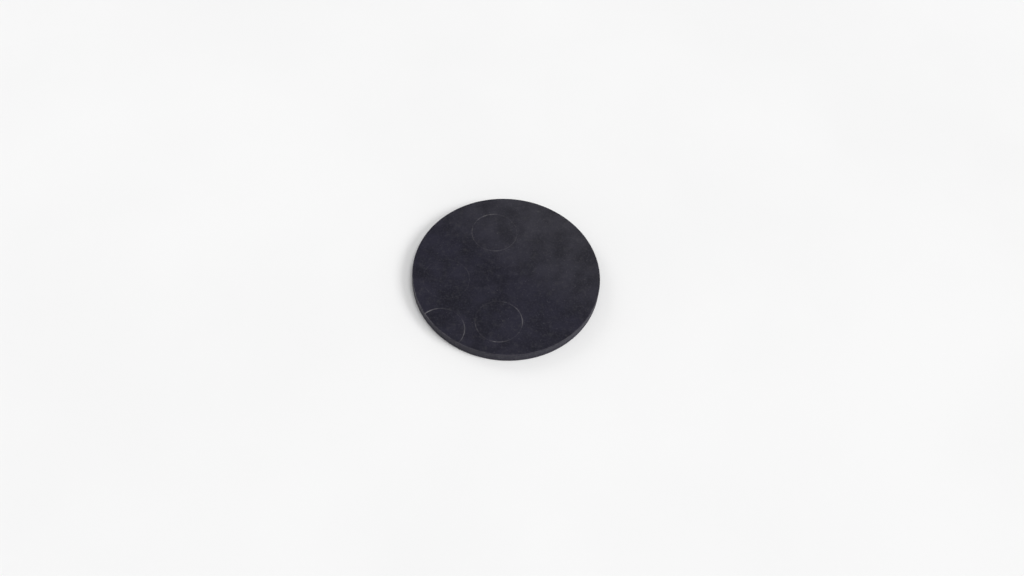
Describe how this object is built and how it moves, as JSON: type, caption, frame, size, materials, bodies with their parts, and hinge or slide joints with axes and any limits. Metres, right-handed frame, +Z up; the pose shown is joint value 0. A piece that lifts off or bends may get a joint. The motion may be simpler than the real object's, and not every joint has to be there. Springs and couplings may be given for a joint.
{
  "type": "rubber washer",
  "caption": "Flat round black rubber washer with no bore, softened rim edges and faint rings pressed into its upper face; seals or cushions between two flat faces.",
  "frame": {"origin": "middle of the underside, on the surface that the washer lies on", "axes": "+Z up through the thickness of the disc, +X to the right and +Y away from the viewer of the picture"},
  "size_m": [0.04, 0.04, 0.0024],
  "materials": {
    "rubber": "satin black sheet rubber"
  },
  "bodies": {
    "root": {"washer": "rubber"}
  },
  "joints": []
}
